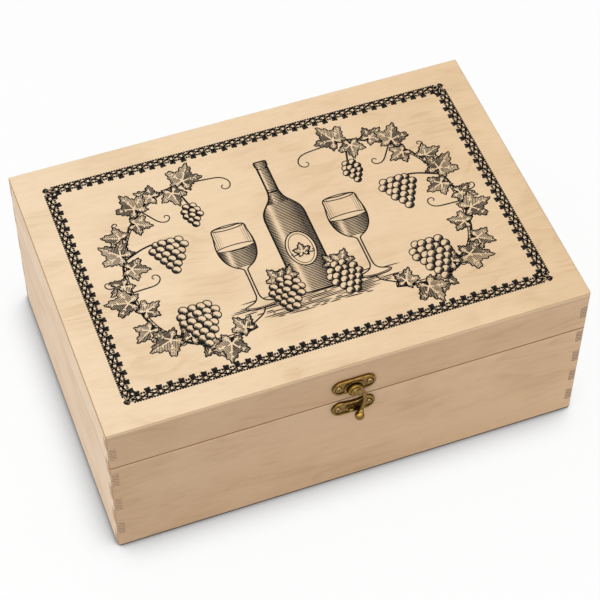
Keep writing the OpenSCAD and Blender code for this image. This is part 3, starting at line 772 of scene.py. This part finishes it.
def draw_unit(art, place, pitch, hand):
    """One repeat of the border: two crossing vines, curls and buds, and a black leaf that points inward."""
    t = np.linspace(0, 1, 9)
    for sign, width in ((1, 0.95), (-1, 0.7)):
        sway = sign * hand * 1.3 * np.sin(math.pi * t)
        art.line(place(np.column_stack((t * pitch, STEM_LINE + sway))), width)
    spin = np.linspace(0, 1, 12)
    for side in (0.27, 0.73):
        angle = hand * (0.5 * math.pi - 3.0 * math.pi * spin) * (1 if side < 0.5 else -1)
        curl = np.column_stack((np.cos(angle), np.sin(angle))) * (1.0 - 0.75 * spin)[:, None]
        art.line(place(curl + (side * pitch, STEM_LINE)), 0.5)
    art.fill(place(turned(small_leaf(), 8 * hand, (pitch * 0.5, LEAF_LINE + 0.2 * hand), 2.35)))
    art.line(place([(pitch * 0.5, 4.0), (pitch * 0.47, 5.2), (pitch * 0.5, 6.6)]), 0.8)
    for x, y, size, degrees in BUDS:
        art.fill(place(turned(BUD, degrees, (x * pitch, y), size)))
    for x in (0.125, 0.375, 0.625, 0.875):
        art.fill(place(circle((x * pitch, BEAD_LINE), 0.78, 0.75, 12)))


def draw_border():
    """A vine border round the lid, a little in from its edges, with curls and a small leaf at each corner."""
    art = Print()
    half = np.array((cad_high.x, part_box("lid_top_panel")[1].y)) / MM - BORDER_MARGIN
    for quarter in range(4):
        run = half[quarter % 2]
        away = half[(quarter + 1) % 2]

        def place(points, shift=0.0):
            """points on this side of the border, moved along it by shift."""
            return turned(np.asarray(points, float) + (shift, -away), 90 * quarter)

        reach = run - CORNER_ROOM
        count = 2 * round(reach / BORDER_PITCH)
        pitch = 2 * reach / count
        for i in range(count):
            start = i * pitch - reach
            draw_unit(art, lambda points, start=start: place(points, start), pitch, 1 if i % 2 else -1)
        corner = np.array((-run, 0.0))
        art.line(place(corner + circle((3.0, 3.0), 2.6, count=10, start=180, end=270)), 0.9)
        art.line(place([corner + (0.9, 0.9), corner + (5.0, 5.0)]), 0.9)
        for x, y, size in ((2.9, 5.0, 1.3), (5.0, 2.9, 1.3), (2.3, 2.3, 1.0)):
            art.line(place(circle(corner + (x, y), size, count=12)), 0.6, closed=True)
        for x, y, size in ((2.9, 5.0, 0.6), (5.0, 2.9, 0.6), (1.3, 3.2, 0.7), (3.2, 1.3, 0.7)):
            art.fill(place(circle(corner + (x, y), size, count=8)))
        art.fill(place(turned(small_leaf(), 45, corner + (5.4, 5.4), 1.25)))
    return art


# ---------------------------------------------------------------- finishes of the CAD nodes


def dress():
    """Each node's material."""
    fronts = wood("wood_front", X, FRONT_TINT, 1, fade=FRONT_PAINTED_LIGHT_FADE)
    sides = wood("wood_side", Y, SIDE_TINT, 2)
    lid_fronts = wood("wood_lid_front", X, LID_FRONT_TINT, 4, fade=FRONT_PAINTED_LIGHT_FADE)
    lid_sides = wood("wood_lid_side", Y, LID_SIDE_TINT, 5)
    top = wood("wood_top", X, TOP_TINT, 3, LID_FRONT_TINT, LID_SIDE_TINT, TOP_FADE)
    metal = brass("antique_brass", *PLATE_BRASS)
    screw = brass("screw_brass", *SCREW_BRASS)
    finishes = {
        "base_front_board": fronts, "base_back_board": fronts,
        "base_left_board": sides, "base_right_board": sides,
        "lid_front_board": lid_fronts, "lid_back_board": lid_fronts,
        "lid_left_board": lid_sides, "lid_right_board": lid_sides,
        "lid_top_panel": top, "base_bottom_panel": top,
    }
    for name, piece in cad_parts.items():
        finish = finishes.get(name, screw if "screws" in name else metal)
        piece.data.materials.clear()
        piece.data.materials.append(finish)


# ---------------------------------------------------------------- studio

FLOOR_REACH = 6.0
FLOOR_DROP = 0.02 * MM
PAPER_GREY = (0.86, 0.86, 0.86, 1)
PAPER_GLOW = 0.9
PAPER_WHITE = 1.008
SHADOW_REACH = 30 * MM
SHADOW_LEAN = (0.18, 0.14, 0.97)
SHADOW_POWER = 2.6
SHADOW_BLACK = 0.42
CONTACT_REACH = 3.2 * MM
CONTACT_POWER = 1.5
CONTACT_SHARE = 0.28

WHITE = (1, 1, 1, 1)
ROOM_LIGHT = 0.46
ROOM_SEEN = 1.0
MIRRORED_LOW, MIRRORED_HIGH = 0.30, 1.9
# A softbox: its name, place, side in metres and power in watts.
SOFTBOXES = (("overhead", (-0.15, -0.10, 1.45), 1.8, 14), ("left_fill", (-1.60, 0.20, 0.30), 1.0, 4.0))


def area_light(name, at, size, watts):
    """A square softbox that faces the wine box."""
    data = bpy.data.lights.new(name, "AREA")
    data.size = size
    data.energy = watts
    lamp = bpy.data.objects.new(name, data)
    bpy.context.scene.collection.objects.link(lamp)
    turn = (-Vector(at)).to_track_quat("-Z", "Y").to_matrix().to_4x4()
    lamp.matrix_world = Matrix.Translation(at) @ turn


def shut(tree, power, samples, settings):
    """How closed in a place is by what stands near it, from 0 to 1, raised to a power."""
    openness = node(tree, "ShaderNodeAmbientOcclusion", settings, samples=samples).outputs["AO"]
    return maths(tree, "POWER", maths(tree, "SUBTRACT", 1.0, openness), power)


def make_floor():
    """White paper. The camera sees it nearer to full white than it is, with a soft shadow beside the box
    and a thin dark one where the box touches it."""
    material, tree, skin = new_material("studio_paper")
    skin.inputs["Base Color"].default_value = PAPER_GREY
    skin.inputs["Roughness"].default_value = 0.9
    lean = node(tree, "ShaderNodeNormal")
    lean.outputs[0].default_value = SHADOW_LEAN
    beside = shut(tree, SHADOW_POWER, 24, {"Distance": SHADOW_REACH, "Normal": lean.outputs[0]})
    touching = shut(tree, CONTACT_POWER, 16, {"Distance": CONTACT_REACH})
    closed = maths(tree, "ADD", beside, maths(tree, "MULTIPLY", touching, CONTACT_SHARE))
    strength = ramp(tree, closed, 0.0, SHADOW_BLACK, PAPER_WHITE, 0.0, "LINEAR")
    white = node(tree, "ShaderNodeEmission", {"Color": WHITE, "Strength": strength})
    rays = node(tree, "ShaderNodeLightPath").outputs
    seen = maths(tree, "MAXIMUM", rays["Is Camera Ray"], rays["Is Transmission Ray"])
    share = maths(tree, "MULTIPLY", seen, PAPER_GLOW)
    mixed = node(tree, "ShaderNodeMixShader", {0: share, 1: skin.outputs[0], 2: white.outputs[0]})
    tree.links.new(mixed.outputs[0], tree.nodes["Material Output"].inputs["Surface"])
    mesh = bpy.data.meshes.new("studio_floor")
    corners = [(x * FLOOR_REACH, y * FLOOR_REACH, 0) for x, y in ((-1, -1), (1, -1), (1, 1), (-1, 1))]
    mesh.from_pydata(corners, [], [(0, 1, 2, 3)])
    mesh.materials.append(material)
    floor = bpy.data.objects.new("studio_floor", mesh)
    floor.location.z = cad_low.z - FLOOR_DROP
    bpy.context.scene.collection.objects.link(floor)


def make_world():
    """A plain room: it lights the box softly, the camera sees it as full white, and what mirrors it sees
    it grow brighter from the floor up."""
    world = bpy.data.worlds.new("studio")
    bpy.context.scene.world = world
    world.use_nodes = True
    tree = world.node_tree
    tree.nodes.clear()
    rays = node(tree, "ShaderNodeLightPath").outputs
    direct = maths(tree, "MAXIMUM", rays["Is Camera Ray"], rays["Is Transmission Ray"])
    plain = ramp(tree, direct, 0.0, 1.0, ROOM_LIGHT, ROOM_SEEN)
    way = node(tree, "ShaderNodeTexCoord").outputs["Generated"]
    height = node(tree, "ShaderNodeSeparateXYZ", {0: way}).outputs[Z]
    mirrored = ramp(tree, height, -0.1, 0.8, MIRRORED_LOW, MIRRORED_HIGH)
    strength = node(tree, "ShaderNodeMix", {0: rays["Is Glossy Ray"], 2: plain, 3: mirrored}).outputs[0]
    sky = node(tree, "ShaderNodeBackground", {"Color": WHITE, "Strength": strength})
    out = node(tree, "ShaderNodeOutputWorld")
    tree.links.new(sky.outputs[0], out.inputs[0])


bpy.context.scene.view_settings.view_transform = "Standard"
make_camera()
make_world()
make_floor()
for softbox in SOFTBOXES:
    area_light(*softbox)
dress()
ink = printers_ink()
draw_picture().made("print_picture", LID_TOP + PRINT_LIFT, ink)
draw_border().made("print_border", LID_TOP + PRINT_LIFT, ink)
